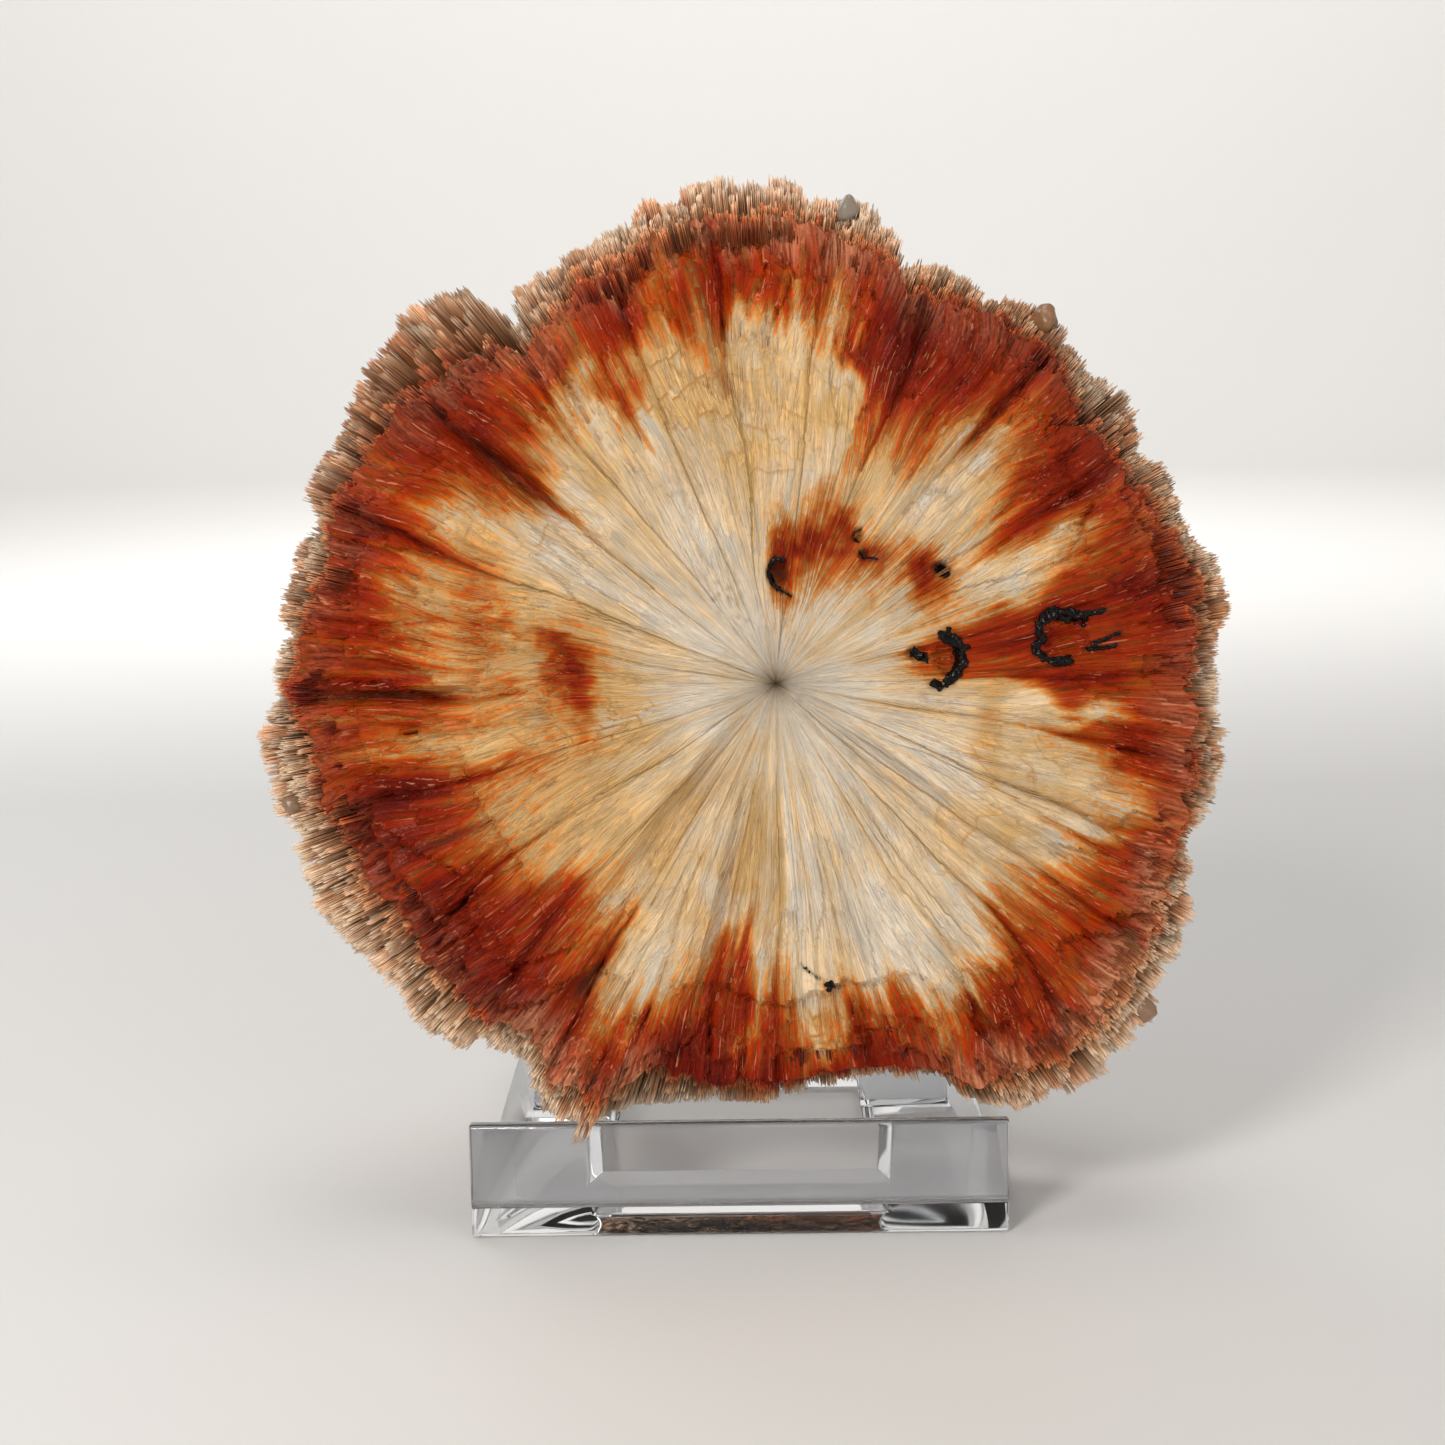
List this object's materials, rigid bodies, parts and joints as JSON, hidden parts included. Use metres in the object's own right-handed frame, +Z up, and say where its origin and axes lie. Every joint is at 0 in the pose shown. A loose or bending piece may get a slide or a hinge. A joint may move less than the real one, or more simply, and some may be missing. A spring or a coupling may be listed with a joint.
{
  "type": "scolecite specimen on a display easel",
  "caption": "Radial spray of scolecite needles with a broken fibrous face, a rusty rim and a domed back, leaning on a clear moulded easel stand.",
  "frame": {"origin": "The middle of the footprint of the whole object, stand and spray together, on the surface that the stand rests on.", "axes": "+X to the right as seen from the front, +Y away from the viewer, +Z up. The broken face looks along -Y and leans back."},
  "size_m": [0.1364, 0.0752, 0.1452],
  "materials": {
    "scolecite": "satin",
    "clear_plastic": "clear gloss"
  },
  "bodies": {
    "root": {"scolecite_spray": "scolecite", "easel_stand": "clear_plastic"}
  },
  "joints": []
}
